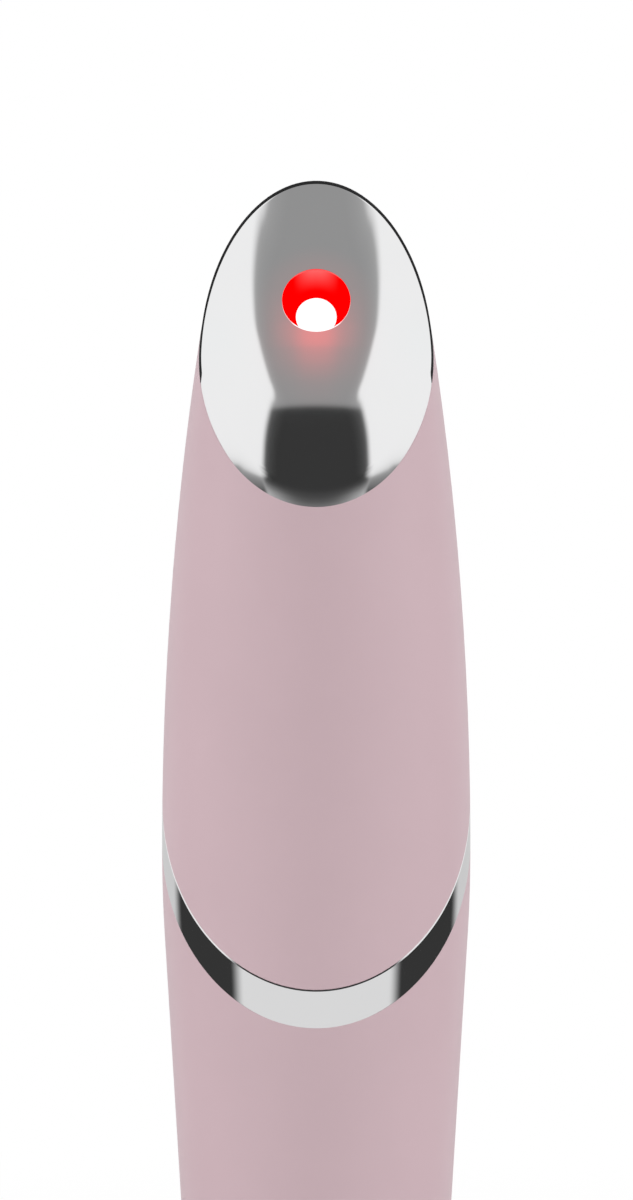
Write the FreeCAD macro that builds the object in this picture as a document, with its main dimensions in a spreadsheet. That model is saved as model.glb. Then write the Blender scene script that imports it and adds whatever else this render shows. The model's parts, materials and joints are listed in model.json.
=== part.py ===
"""Heated eye massager wand: a slanted, domed metal head with a lit hole on a slender round body.

The wand stands upright on its flat end cap: the origin is the middle of that flat face, +Z runs up
the body's axis and the slanted massage face looks towards -Y. Every length is in millimetres.
"""
import FreeCAD, Part
import math
import os

import Sketcher

V = FreeCAD.Vector
X_AXIS = V(1, 0, 0)

# ------------------------------------------------------------------ driving dimensions
SIZES = [
    # the round outline that the shells, the ring and the head share
    ("base_radius", 6.64),        # at the foot
    ("taper_height", 76.0),       # the outline is a straight taper up to here
    ("belly_rise", 5.8),          # from there up to the thickest place
    ("widest_radius", 11.0),
    ("shoulder_rise", 27.0),      # from there up to where the two upper arcs meet
    ("shoulder_inset", 1.37),     # how much slimmer it is there
    ("nose_rise", 21.2),          # from there up to the top
    ("nose_inset", 3.1),          # how much slimmer it is there than at the shoulder
    ("shell_wall", 1.3),
    # slanted seams; each lift or drop is measured where the plane crosses the axis
    ("ring_angle", 45.0),
    ("ring_lift", 4.25),          # the ring's top above the thickest place
    ("ring_band", 3.1),
    ("ring_bevel", 0.14),
    ("rim_angle", 46.0),
    ("rim_drop", 9.7),            # the upper shell's rim below the top
    # massage head
    ("face_angle", 53.2),
    ("face_lift", 0.78),          # the collar's face above the rim
    ("head_inset", 0.15),         # the collar's lip stands this thick round the head
    ("head_edge", 0.25),          # thickness of the head's edge under the face plane
    ("crown_across", 22.0),       # radius of the dome from side to side
    ("crown_along", 80.0),        # radius of the dome from end to end
    ("crown_rise", 2.0),          # the dome's highest place above the face plane
    ("crown_shift", 6.44),        # how far below the axis that place is
    # lit hole
    ("hole_shift", 1.32),
    ("hole_rise", 1.55),
    ("hole_radius", 2.41),
    ("cup_lip", 0.45),            # the cup ends this far below the hole's mouth
    ("cup_shoulder", 1.3),        # the cup is full width down to here
    ("cup_depth", 3.4),
    ("cup_wall", 0.36),
    ("window_radius", 1.5),
    ("window_thickness", 0.6),
    ("window_ledge", 0.06),
    ("lamp_thickness", 0.7),
    ("lamp_width", 1.6),
    ("lamp_board_radius", 2.0),
    ("lamp_board_thickness", 0.8),
    # collar
    ("fit_gap", 0.06),            # between a spigot and the shell round it
    ("spigot_wall", 0.9),
    ("spigot_depth", 5.0),
    ("seal_drop", 2.4),
    ("seal_height", 0.8),
    ("seal_depth", 0.55),
    # heater under the head
    ("heater_width", 6.0),
    ("heater_length", 4.2),
    ("heater_thickness", 0.3),
    ("heater_room", 1.02),        # from the film's front corners to the collar at the shoulder
    ("sensor_width", 1.6),
    ("sensor_length", 0.9),
    ("sensor_thickness", 0.5),
    # joining sleeve between the shells
    ("sleeve_wall", 1.0),
    ("sleeve_overlap", 6.0),      # how far it reaches past the ring on either side
    # battery and its pads
    ("battery_room", 1.234),      # round the cell, for its cradle and the leads
    ("battery_length", 30.0),
    ("pad_inset", 0.5),           # the pads are this much smaller than the cell
    ("pad_thickness", 1.0),
    # chassis
    ("channel_bottom", 18.0),
    ("channel_wall", 0.8),
    ("channel_ledge", 0.6),
    ("channel_back", 2.2),
    ("web_thickness", 1.2),
    ("disc_thickness", 1.5),
    ("disc_gap", 0.14),           # between a disc and the shell or sleeve round it
    ("cradle_gap", 0.1),
    ("cradle_wall", 1.0),
    ("notch_side", 0.69),         # room in the discs' notches beside the leads
    ("notch_gap", 0.17),          # and behind them
    ("motor_cup_height", 9.0),
    ("motor_cup_wall", 0.9),
    # vibration motor
    ("motor_radius", 3.5),
    ("motor_length", 12.0),
    ("motor_cap_thickness", 1.1),
    ("motor_stand", 1.2),
    ("boot_wall", 0.8),
    ("boot_length", 8.5),
    ("boss_radius", 1.2),
    ("boss_height", 0.6),
    ("shaft_radius", 0.4),
    ("shaft_play", 0.05),
    ("shaft_seat", 3.0),
    ("shaft_end_gap", 0.2),
    ("weight_radius", 3.2),
    ("weight_length", 3.8),
    ("weight_gap", 0.5),
    ("weight_drop", 6.1),         # the weight's top below the rim
    ("hub_radius", 1.0),
    # circuit board
    ("board_thickness", 1.0),
    ("board_half_width", 4.2),
    ("board_neck_half_width", 3.0),
    ("board_bottom", 3.0),
    ("board_step", 9.0),
    ("board_play", 0.05),
    ("low_screw_rise", 3.0),      # above the channel's bottom
    ("high_screw_drop", 4.0),     # below the channel's top
    ("screw_radius", 0.65),
    ("screw_play", 0.03),
    ("screw_length", 2.4),
    ("screw_head_radius", 1.2),
    ("screw_head_height", 0.7),
    ("post_radius", 1.3),
    ("chip_width", 2.4),
    ("chip_thickness", 0.9),
    ("chip_side", 1.6),           # the charger and its coil stand this far off the middle
    ("chip_rise", 4.0),           # and this far above the board's step
    ("coil_thickness", 1.4),
    ("controller_width", 3.6),
    ("controller_rise", 9.0),     # above the channel's bottom
    ("driver_drop", 12.0),        # below the channel's top
    # charging socket
    ("socket_half_width", 4.47),
    ("socket_half_height", 1.63),
    ("socket_wall", 0.3),
    ("socket_recess", 0.6),
    ("socket_length", 7.3),
    ("socket_gap", 0.02),
    ("tongue_half_width", 3.1),
    ("tongue_half_height", 0.35),
    ("tongue_recess", 1.2),
    # end cap
    ("cap_height", 4.0),
    ("cap_floor", 2.2),
    ("cap_edge_round", 0.8),
    ("cap_spigot_height", 4.0),
    ("cap_spigot_wall", 0.6),
    ("cap_seal_drop", 1.2),
    ("cap_slot_gap", 0.18),
    # power button and its switch
    ("button_drop", 22.0),        # its middle below the channel's top
    ("button_radius", 3.5),
    ("button_gap", 0.15),
    ("button_proud", 0.35),
    ("button_dome", 24.0),
    ("button_edge_round", 0.35),
    ("button_travel", 0.3),
    ("flange_radius", 4.4),
    ("flange_thickness", 0.6),
    ("flange_depth", 2.2),
    ("stem_radius", 1.2),
    ("button_seal_radius", 0.25),
    ("button_seal_depth", 0.98),
    ("switch_width", 3.6),
    ("switch_thickness", 1.8),
    ("plunger_radius", 0.85),
    ("plunger_play", 0.06),
    ("plunger_proud", 0.7),
    ("plunger_length", 1.5),
    ("plunger_gap", 0.02),
    # status light
    ("light_drop", 8.0),          # below the button's middle
    ("light_radius", 0.7),
    ("light_gap", 0.04),
    ("light_flange_radius", 1.3),
    ("light_flange_thickness", 0.6),
    ("light_chip", 1.0),
    ("light_chip_thickness", 0.5),
    # insulated leads
    ("lead_radius", 0.35),
    ("lead_gap", 0.05),
    ("lead_side", 0.8),           # the innermost leads stand this far off the middle
    ("lead_spacing", 0.22),       # between neighbours on the board
    ("lead_start", 8.0),          # above the button's middle
    ("lead_rest", 3.5),           # they lie on the board for this long
    ("lead_reach", 5.5),          # they are clear of the board this far below the channel's top
    ("lead_leave", 0.4),          # and turn off this far above the motor's floor
    ("battery_lead_turn", 1.5),   # above the channel's top
    ("battery_lead_rise", 7.0),   # above the channel's top
    ("heater_lead_inset", 0.98),  # behind the heating film's front edge
    ("lamp_lead_straight", 1.6),
]

doc = FreeCAD.newDocument("EyeMassagerWand")
sheet = doc.addObject("Spreadsheet::Sheet", "Sizes")
for row, (alias, value) in enumerate(SIZES, start=1):
    sheet.set("A%d" % row, alias)
    sheet.set("B%d" % row, str(value))
    sheet.setAlias("B%d" % row, alias)
doc.recompute()


def val(expression):
    """The number that an expression of sheet sizes gives."""
    result = sheet.evalExpression(expression)
    return float(getattr(result, "Value", result))


def bind(obj, path, expression):
    """Tie a property to an expression of sheet sizes."""
    obj.setExpression(path, expression.replace("@", "Sizes."))


def num(expression):
    return val(expression.replace("@", ""))


# ------------------------------------------------------------------ derived places, as expressions
WIDEST_HEIGHT = "(@taper_height + @belly_rise)"
SHOULDER_HEIGHT = "(%s + @shoulder_rise)" % WIDEST_HEIGHT
TOP_HEIGHT = "(%s + @nose_rise)" % SHOULDER_HEIGHT
RING_TOP = "(%s + @ring_lift)" % WIDEST_HEIGHT
RING_BOTTOM = "(%s - @ring_band)" % RING_TOP
RIM_HEIGHT = "(%s - @rim_drop)" % TOP_HEIGHT
FACE_HEIGHT = "(%s + @face_lift)" % RIM_HEIGHT
BOARD_BACK = "(@socket_half_height + @socket_gap)"             # forward distance, along -Y
BOARD_FRONT = "(%s + @board_thickness)" % BOARD_BACK
SWITCH_FRONT = "(%s + @switch_thickness)" % BOARD_FRONT
PLUNGER_TIP = "(%s + @plunger_proud)" % SWITCH_FRONT
CHANNEL_HALF = "(@board_half_width + @board_play)"
WEB_FRONT = "(@channel_back - @web_thickness)"                 # towards +Y
# everything inside hangs from the rim, from the rotor's weight down to the button
WEIGHT_TOP = "(%s - @weight_drop)" % RIM_HEIGHT
WEIGHT_BOTTOM = "(%s - @weight_length)" % WEIGHT_TOP
MOTOR_TOP = "(%s - @weight_gap - @boss_height)" % WEIGHT_BOTTOM
MOTOR_BOTTOM = "(%s - @motor_length)" % MOTOR_TOP
MOTOR_CAP = "(%s - @motor_cap_thickness)" % MOTOR_BOTTOM
MOTOR_FLOOR = "(%s - @motor_stand)" % MOTOR_CAP
UPPER_DISC = "(%s - @disc_thickness)" % MOTOR_FLOOR
BATTERY_TOP = "(%s - @pad_thickness)" % UPPER_DISC
BATTERY_BOTTOM = "(%s - @battery_length)" % BATTERY_TOP
LOW_PAD = "(%s - @pad_thickness)" % BATTERY_BOTTOM
CHANNEL_TOP = "(%s - @disc_thickness)" % LOW_PAD
SCREW_HEIGHTS = {"LowScrew": "(@channel_bottom + @low_screw_rise)",
                 "HighScrew": "(%s - @high_screw_drop)" % CHANNEL_TOP}
BUTTON_HEIGHT = "(%s - @button_drop)" % CHANNEL_TOP
LIGHT_HEIGHT = "(%s - @light_drop)" % BUTTON_HEIGHT
SPIGOT_INSET = "(@shell_wall + @fit_gap)"
COLLAR_HOLLOW = "(@shell_wall + @fit_gap + @spigot_wall)"
SLEEVE_HOLLOW = "(@shell_wall + @fit_gap + @sleeve_wall)"
CAP_HOLLOW = "(@shell_wall + @fit_gap + @cap_spigot_wall)"
SEAL_INNER = "(@shell_wall + @seal_depth)"
CAP_SEAL_INNER = "(@shell_wall + @seal_depth / 2 + @fit_gap)"
SHOULDER_RADIUS = "(@widest_radius - @shoulder_inset)"
NOSE_RADIUS = "(%s - @nose_inset)" % SHOULDER_RADIUS
TAPER_SLOPE = "((@widest_radius - @base_radius) / (@taper_height + @belly_rise / 2))"


def taper_radius(height):
    """Radius of the outline at a height on its straight taper."""
    return "(@base_radius + %s * %s)" % (TAPER_SLOPE, height)


def middle_radius(height):
    """Radius of the outline at a height between the thickest place and the shoulder."""
    arc = "((@shoulder_rise ^ 2 + @shoulder_inset ^ 2) / (2 * @shoulder_inset))"
    rise = "(%s - %s)" % (height, WIDEST_HEIGHT)
    return "(@widest_radius - %s + sqrt(%s ^ 2 - %s ^ 2))" % (arc, arc, rise)


def lead_side(place):
    """How far off the middle a pair of leads stands, counted from the innermost pair, 0."""
    return "(@lead_side + %d * (2 * @lead_radius + @lead_spacing))" % place


def lead_front(side):
    """How far forward a lead stands in line with the battery cradle's wall."""
    return "sqrt(%s ^ 2 - %s ^ 2)" % (CRADLE_OUTER, side)


BATTERY_RADIUS = "(%s - %s - @battery_room)" % (taper_radius(BATTERY_BOTTOM), SLEEVE_HOLLOW)
CRADLE_INNER = "(%s + @cradle_gap)" % BATTERY_RADIUS
CRADLE_OUTER = "(%s + @cradle_wall)" % CRADLE_INNER
HEATER_REACH = "(%s - %s - @heater_room)" % (SHOULDER_RADIUS, COLLAR_HOLLOW)
HEATER_FRONT = "sqrt(%s ^ 2 - (@heater_width / 2) ^ 2)" % HEATER_REACH
BUTTON_SKIN = taper_radius(BUTTON_HEIGHT)
LIGHT_SKIN = taper_radius(LIGHT_HEIGHT)
LOWER_DISC_RADIUS = "(%s - @shell_wall - @disc_gap)" % taper_radius(CHANNEL_TOP)
UPPER_DISC_RADIUS = "(%s - %s - @disc_gap)" % (middle_radius(MOTOR_FLOOR), SLEEVE_HOLLOW)
BATTERY_LEAD, MOTOR_LEAD, HEATER_LEAD, LAMP_LEAD = [lead_side(place) for place in range(4)]
# out from the face plane to the back of the lamp's board
LAMP_BACK = ("(@hole_rise - @cup_depth - @window_thickness - @lamp_thickness"
             " - @lamp_board_thickness)")
NOTCH_HALF = "(%s + @lead_radius + @notch_side)" % LAMP_LEAD
NOTCH_FRONT = "(%s - @lead_radius - @notch_gap)" % lead_front(LAMP_LEAD)


# ------------------------------------------------------------------ sketch and feature helpers
def origin_plane(body, role):
    return [f for f in body.Origin.OriginFeatures if f.Role == role][0]


def new_body(label):
    body = doc.addObject("PartDesign::Body", label)
    body.Label = label
    return body


def new_sketch(body, name, role, offset=None):
    """A sketch on one of its body's origin planes, moved along the plane's normal by offset."""
    sketch = body.newObject("Sketcher::SketchObject", name)
    sketch.AttachmentSupport = [(origin_plane(body, role), "")]
    sketch.MapMode = "FlatFace"
    if offset:
        bind(sketch, "AttachmentOffset.Base.z", offset)
    return sketch


def drive(sketch, kind, args, expression):
    """Add a dimension and tie it to an expression; a place of 0 lies on the sketch's own axis."""
    if expression == "0":
        axis = -2 if kind == "DistanceX" else -1
        sketch.addConstraint(Sketcher.Constraint("PointOnObject", args[2], args[3], axis))
        return
    index = sketch.addConstraint(Sketcher.Constraint(kind, *args, num(expression)))
    bind(sketch, "Constraints[%d]" % index, expression)


def place_point(sketch, geometry, end, x, y):
    drive(sketch, "DistanceX", (-1, 1, geometry, end), x)
    drive(sketch, "DistanceY", (-1, 1, geometry, end), y)


def polygon(sketch, corners):
    """A closed outline whose corners are all given as pairs of expressions."""
    points = [V(num(x), num(y), 0) for x, y in corners]
    first = sketch.GeometryCount
    count = len(points)
    for i in range(count):
        sketch.addGeometry(Part.LineSegment(points[i], points[(i + 1) % count]), False)
    for i in range(count):
        following = first + (i + 1) % count
        sketch.addConstraint(Sketcher.Constraint("Coincident", first + i, 2, following, 1))
        place_point(sketch, first + i, 1, *corners[i])


def rectangle(sketch, left, right, bottom, top):
    polygon(sketch, [(left, bottom), (right, bottom), (right, top), (left, top)])


def circle(sketch, x, y, radius):
    centre = V(num(x), num(y), 0)
    index = sketch.addGeometry(Part.Circle(centre, V(0, 0, 1), num(radius)), False)
    place_point(sketch, index, 3, x, y)
    drive(sketch, "Radius", (index,), radius)


def stadium(sketch, half_width, half_height):
    """A slot shape centred on the sketch's origin: two straight sides and two round ends."""
    straight, radius = num(half_width) - num(half_height), num(half_height)
    z = V(0, 0, 1)
    right = Part.ArcOfCircle(Part.Circle(V(straight, 0, 0), z, radius), -math.pi / 2, math.pi / 2)
    left = Part.ArcOfCircle(Part.Circle(V(-straight, 0, 0), z, radius), math.pi / 2, 1.5 * math.pi)
    first = sketch.GeometryCount
    sketch.addGeometry(right, False)
    sketch.addGeometry(Part.LineSegment(V(straight, radius, 0), V(-straight, radius, 0)), False)
    sketch.addGeometry(left, False)
    sketch.addGeometry(Part.LineSegment(V(-straight, -radius, 0), V(straight, -radius, 0)), False)
    for a, b in ((0, 1), (1, 2), (2, 3), (3, 0)):
        sketch.addConstraint(Sketcher.Constraint("Tangent", first + a, 2, first + b, 1))
    drive(sketch, "Radius", (first,), half_height)
    place_point(sketch, first, 3, "%s - %s" % (half_width, half_height), "0")
    place_point(sketch, first + 2, 3, "%s - %s" % (half_height, half_width), "0")


def outline(sketch, inset):
    """Half of the wand's round outline, moved in towards the axis by inset.

    From the foot up: a straight taper, an arc up to the widest place, an arc to the shoulder and
    an arc to the top, each tangent to the last, closed along the axis.
    """
    base, widest, shoulder, nose = [num("%s - %s" % (radius, inset)) for radius in (
        "@base_radius", "@widest_radius", SHOULDER_RADIUS, NOSE_RADIUS)]
    taper_z, widest_z = num("@taper_height"), num(WIDEST_HEIGHT)
    shoulder_z, top_z = num(SHOULDER_HEIGHT), num(TOP_HEIGHT)
    # first guesses for the arcs' centres; the constraints settle them
    rise, drop = shoulder_z - widest_z, widest - shoulder
    flat_radius = (rise ** 2 + drop ** 2) / (2 * drop)
    middle_centre = V(widest - flat_radius, widest_z, 0)
    inward = (middle_centre - V(shoulder, shoulder_z, 0)).normalize()
    to_top = V(nose - shoulder, top_z - shoulder_z, 0)
    upper_radius = to_top.Length ** 2 / (2 * to_top.dot(inward))
    upper_centre = V(shoulder, shoulder_z, 0) + inward * upper_radius
    lean = math.atan((widest - base) / ((taper_z + widest_z) / 2))
    belly_radius = (widest_z - taper_z) / math.sin(lean)
    belly_centre = V(widest - belly_radius, widest_z, 0)
    taper_x = belly_centre.x + belly_radius * math.cos(lean)

    def arc(centre, radius, start, end):
        angles = [math.atan2(p.y - centre.y, p.x - centre.x) for p in (start, end)]
        return Part.ArcOfCircle(Part.Circle(centre, V(0, 0, 1), radius), *angles)

    widest_point, shoulder_point = V(widest, widest_z, 0), V(shoulder, shoulder_z, 0)
    pieces = [
        Part.LineSegment(V(0, 0, 0), V(base, 0, 0)),
        Part.LineSegment(V(base, 0, 0), V(taper_x, taper_z, 0)),
        arc(belly_centre, belly_radius, V(taper_x, taper_z, 0), widest_point),
        arc(middle_centre, flat_radius, widest_point, shoulder_point),
        arc(upper_centre, upper_radius, shoulder_point, V(nose, top_z, 0)),
        Part.LineSegment(V(nose, top_z, 0), V(0, top_z, 0)),
        Part.LineSegment(V(0, top_z, 0), V(0, 0, 0)),
    ]
    for piece in pieces:
        sketch.addGeometry(piece, False)
    floor, taper, belly, middle, upper, lid, axis = range(7)
    for a, b in ((floor, taper), (belly, middle), (upper, lid), (lid, axis), (axis, floor)):
        sketch.addConstraint(Sketcher.Constraint("Coincident", a, 2, b, 1))
    sketch.addConstraint(Sketcher.Constraint("Tangent", taper, 2, belly, 1))
    sketch.addConstraint(Sketcher.Constraint("Tangent", middle, 2, upper, 1))
    for arc_index, end in ((belly, 2), (middle, 1)):
        sketch.addConstraint(Sketcher.Constraint("Horizontal", arc_index, 3, arc_index, end))
    place_point(sketch, floor, 1, "0", "0")
    place_point(sketch, floor, 2, "@base_radius - %s" % inset, "0")
    drive(sketch, "DistanceY", (-1, 1, belly, 1), "@taper_height")
    place_point(sketch, middle, 1, "@widest_radius - %s" % inset, WIDEST_HEIGHT)
    place_point(sketch, middle, 2, "%s - %s" % (SHOULDER_RADIUS, inset), SHOULDER_HEIGHT)
    place_point(sketch, lid, 1, "%s - %s" % (NOSE_RADIUS, inset), TOP_HEIGHT)
    place_point(sketch, axis, 1, "0", TOP_HEIGHT)


def feature(body, kind, name, sketch):
    made = body.newObject("PartDesign::" + kind, name)
    made.Profile = sketch
    sketch.Visibility = False
    return made


def revolve(body, name, sketch, axis="V_Axis", cut=False):
    made = feature(body, "Groove" if cut else "Revolution", name, sketch)
    made.ReferenceAxis = (sketch, [axis])
    made.Angle = 360
    return made


def pad(body, name, sketch, length):
    made = feature(body, "Pad", name, sketch)
    bind(made, "Length", length)
    return made


def pocket(body, name, sketch, length=None, both_ways=False):
    """Cut along -normal for a length, or right through both ways."""
    made = feature(body, "Pocket", name, sketch)
    if both_ways:
        made.SideType = "Symmetric"
    if length:
        bind(made, "Length", length)
    else:
        made.Type = "ThroughAll"
    return made


def round_solid(body, name, inset="0", cut=False):
    """The whole wand outline, turned about the axis; with cut it is the hollow inside."""
    sketch = new_sketch(body, name + "Outline", "XZ_Plane")
    outline(sketch, inset)
    return revolve(body, name, sketch, cut=cut)


def trim(body, name, height, angle=None, leave="below"):
    """Cut away what lies above a plane that crosses the axis at height, or leave what is above it.

    The plane is level, or leans up towards +Y by angle.
    """
    reach = "(3 * @widest_radius)"
    lean = "%s * tan(%s)" % (reach, angle) if angle else "0"
    far = "(2 * %s)" % TOP_HEIGHT if leave == "below" else "(-%s)" % TOP_HEIGHT
    sketch = new_sketch(body, name + "Plane", "YZ_Plane")
    polygon(sketch, [("-%s" % reach, "%s - %s" % (height, lean)),
                     (reach, "%s + %s" % (height, lean)),
                     (reach, far), ("-%s" % reach, far)])
    return pocket(body, name, sketch, both_ways=True)


def block(name, width, depth, height, x, y, z):
    """A box by its three sizes and its lowest corner."""
    box = doc.addObject("Part::Box", name)
    bind(box, "Length", width)
    bind(box, "Width", depth)
    bind(box, "Height", height)
    for path, expression in (("x", x), ("y", y), ("z", z)):
        bind(box, "Placement.Base." + path, expression)
    return box


def rod(name, radius, length, x="0", y="0", z="0", forward=False):
    """A cylinder that rises along +Z from a point, or reaches forward along -Y from it."""
    made = doc.addObject("Part::Cylinder", name)
    if forward:
        made.Placement = FreeCAD.Placement(V(0, 0, 0), FreeCAD.Rotation(X_AXIS, 90))
    bind(made, "Radius", radius)
    bind(made, "Height", length)
    for path, expression in (("x", x), ("y", y), ("z", z)):
        bind(made, "Placement.Base." + path, expression)
    return made


def fuse(name, *shapes):
    made = doc.addObject("Part::MultiFuse", name)
    made.Shapes = list(shapes)
    return made


def cut(name, base, *tools):
    tool = tools[0] if len(tools) == 1 else fuse(name + "Tools", *tools)
    made = doc.addObject("Part::Cut", name)
    made.Base = base
    made.Tool = tool
    return made


def group(name, *shapes):
    made = doc.addObject("Part::Compound", name)
    made.Links = list(shapes)
    return made


nodes = {}


def keep(label, obj):
    """Name a finished sub-part."""
    obj.Label = label
    nodes[label] = obj
    return obj


def outermost(shape, height, slope=0.0):
    """Numbers of the edges furthest from the axis, of those in a plane that crosses it at height."""
    reach = {}
    for number, edge in enumerate(shape.Edges, start=1):
        points = edge.discretize(9)
        if max(abs(p.z - height - slope * p.y) for p in points) < 1e-4:
            reach[number] = sum(math.hypot(p.x, p.y) for p in points) / len(points)
    middle = (min(reach.values()) + max(reach.values())) / 2
    return [number for number, distance in reach.items() if distance > middle]


# ------------------------------------------------------------------ shells, ring and sleeve
def make_shells():
    lower = new_body("lower_shell_blank")
    round_solid(lower, "LowerSkin")
    trim(lower, "LowerTop", RING_BOTTOM, "@ring_angle")
    trim(lower, "LowerFoot", "@cap_height", leave="above")
    round_solid(lower, "LowerHollow", "@shell_wall", cut=True)
    button_hole = rod("ButtonHole", "@button_radius + @button_gap", "@widest_radius",
                      z=BUTTON_HEIGHT, forward=True)
    # flat seat inside the shell that stops the button's flange
    seat_hole = rod("ButtonSeat", "@flange_radius + @button_gap",
                    "%s - @flange_depth + @fit_gap" % BUTTON_SKIN, z=BUTTON_HEIGHT, forward=True)
    light_hole = rod("LightHole", "@light_radius + @light_gap", "@widest_radius",
                     z=LIGHT_HEIGHT, forward=True)
    keep("lower_shell", cut("LowerShell", lower, button_hole, seat_hole, light_hole))

    upper = keep("upper_shell", new_body("upper_shell"))
    round_solid(upper, "UpperSkin")
    trim(upper, "UpperTop", RIM_HEIGHT, "@rim_angle")
    trim(upper, "UpperFoot", RING_TOP, "@ring_angle", leave="above")
    round_solid(upper, "UpperHollow", "@shell_wall", cut=True)

    ring = keep("accent_ring", new_body("accent_ring"))
    round_solid(ring, "RingSkin")
    trim(ring, "RingTop", RING_TOP, "@ring_angle")
    trim(ring, "RingFoot", RING_BOTTOM, "@ring_angle", leave="above")
    hollow = round_solid(ring, "RingHollow", "@shell_wall", cut=True)
    doc.recompute()
    bevel = ring.newObject("PartDesign::Chamfer", "RingBevel")
    edges = outermost(hollow.Shape, num(RING_TOP), math.tan(math.radians(num("@ring_angle"))))
    bevel.Base = (hollow, ["Edge%d" % i for i in edges])
    bind(bevel, "Size", "@ring_bevel")

    sleeve = keep("joining_sleeve", new_body("joining_sleeve"))
    round_solid(sleeve, "SleeveSkin", SPIGOT_INSET)
    trim(sleeve, "SleeveTop", "%s + @sleeve_overlap" % RING_TOP, "@ring_angle")
    trim(sleeve, "SleeveFoot", "%s - @sleeve_overlap" % RING_BOTTOM, "@ring_angle", leave="above")
    round_solid(sleeve, "SleeveHollow", SLEEVE_HOLLOW, cut=True)


# ------------------------------------------------------------------ massage head and collar
def aim_along_face(obj, along, out):
    """Put an object's own origin on the face plane's frame: along the slope, and out from it."""
    obj.Placement = FreeCAD.Placement(V(0, 0, 0), FreeCAD.Rotation(X_AXIS, 1))
    bind(obj, "Placement.Rotation.Angle", "@face_angle")
    turn = "cos(@face_angle)", "sin(@face_angle)"
    bind(obj, "Placement.Base.y", "(%s) * %s - (%s) * %s" % (along, turn[0], out, turn[1]))
    bind(obj, "Placement.Base.z",
         "%s + (%s) * %s + (%s) * %s" % (FACE_HEIGHT, along, turn[1], out, turn[0]))


def make_dome():
    """The barrel-shaped solid whose skin is the domed massage face."""
    dome = new_body("dome_tool")
    aim_along_face(dome, "-@crown_shift", "@crown_rise - @crown_across")
    sketch = new_sketch(dome, "DomeOutline", "YZ_Plane")
    reach, top, radius = num("2 * @widest_radius"), num("@crown_across"), num("@crown_along")
    centre = V(0, top - radius, 0)
    side = centre.y + math.sqrt(radius ** 2 - reach ** 2)
    half_turn = math.asin(reach / radius)
    sketch.addGeometry(Part.LineSegment(V(-reach, 0, 0), V(reach, 0, 0)), False)
    sketch.addGeometry(Part.LineSegment(V(reach, 0, 0), V(reach, side, 0)), False)
    sketch.addGeometry(Part.ArcOfCircle(Part.Circle(centre, V(0, 0, 1), radius),
                                        math.pi / 2 - half_turn, math.pi / 2 + half_turn), False)
    sketch.addGeometry(Part.LineSegment(V(-reach, side, 0), V(-reach, 0, 0)), False)
    for a, b in ((0, 1), (3, 0)):
        sketch.addConstraint(Sketcher.Constraint("Coincident", a, 2, b, 1))
    sketch.addConstraint(Sketcher.Constraint("Coincident", 1, 2, 2, 1))
    sketch.addConstraint(Sketcher.Constraint("Coincident", 2, 2, 3, 1))
    place_point(sketch, 0, 1, "-2 * @widest_radius", "0")
    place_point(sketch, 0, 2, "2 * @widest_radius", "0")
    for line in (1, 3):
        sketch.addConstraint(Sketcher.Constraint("Vertical", line))
    place_point(sketch, 2, 3, "0", "@crown_across - @crown_along")
    drive(sketch, "Radius", (2,), "@crown_along")
    revolve(dome, "Dome", sketch, "H_Axis")
    return dome


def make_head():
    """The domed metal head with its bore, and the collar that it sits in."""
    blank = new_body("head_blank")
    round_solid(blank, "HeadSkin", "@head_inset")
    trim(blank, "HeadOverRim", RIM_HEIGHT, "@rim_angle", leave="above")
    edge_drop = "@head_edge / cos(@face_angle)"
    trim(blank, "HeadOverCollar", "%s - %s" % (FACE_HEIGHT, edge_drop), "@face_angle", leave="above")

    domed = doc.addObject("Part::Common", "DomedHead")
    domed.Base = blank
    domed.Tool = make_dome()
    through = rod("HoleBore", "@hole_radius", "4 * @cup_depth")
    aim_along_face(through, "@hole_shift", "@hole_rise - 2 * @cup_depth")
    step = rod("HoleStep", "@hole_radius + @cup_wall", "2 * @cup_depth")
    aim_along_face(step, "@hole_shift", "@hole_rise - @cup_lip - 2 * @cup_depth")
    keep("massage_head", cut("MassageHead", domed, through, step))

    collar = new_body("collar_blank")
    round_solid(collar, "CollarSkin")
    trim(collar, "CollarOverRim", RIM_HEIGHT, "@rim_angle", leave="above")
    trim(collar, "CollarFace", FACE_HEIGHT, "@face_angle")
    spigot = new_body("collar_spigot")
    round_solid(spigot, "SpigotSkin", SPIGOT_INSET)
    trim(spigot, "SpigotFoot", "%s - @spigot_depth" % RIM_HEIGHT, "@rim_angle", leave="above")
    trim(spigot, "SpigotTop", RIM_HEIGHT, "@rim_angle")
    hollow = new_body("collar_hollow")
    round_solid(hollow, "CollarHollow", COLLAR_HOLLOW)

    seal = keep("collar_seal", new_body("collar_seal"))
    round_solid(seal, "SealSkin", "@shell_wall")
    trim(seal, "SealTop", "%s - @seal_drop" % RIM_HEIGHT, "@rim_angle")
    trim(seal, "SealFoot", "%s - @seal_drop - @seal_height" % RIM_HEIGHT, "@rim_angle", leave="above")
    round_solid(seal, "SealHollow", SEAL_INNER, cut=True)
    # the lamp's board keeps its room in the collar, however slim the body is
    room = rod("LampRoom", "@lamp_board_radius + @fit_gap", "@lamp_board_thickness + 2 * @fit_gap")
    aim_along_face(room, "@hole_shift", "%s - @fit_gap" % LAMP_BACK)
    whole = fuse("CollarWhole", collar, spigot)
    keep("insulating_collar", cut("InsulatingCollar", whole, blank, hollow, seal, room))


# ------------------------------------------------------------------ lit hole
def turned(label, along, out, corners):
    """A piece turned about the hole's own axis; corners are (radius, height out of the hole)."""
    body = keep(label, new_body(label))
    aim_along_face(body, along, out)
    sketch = new_sketch(body, label + "Outline", "XZ_Plane")
    polygon(sketch, corners)
    revolve(body, label + "Turn", sketch)
    return body


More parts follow.
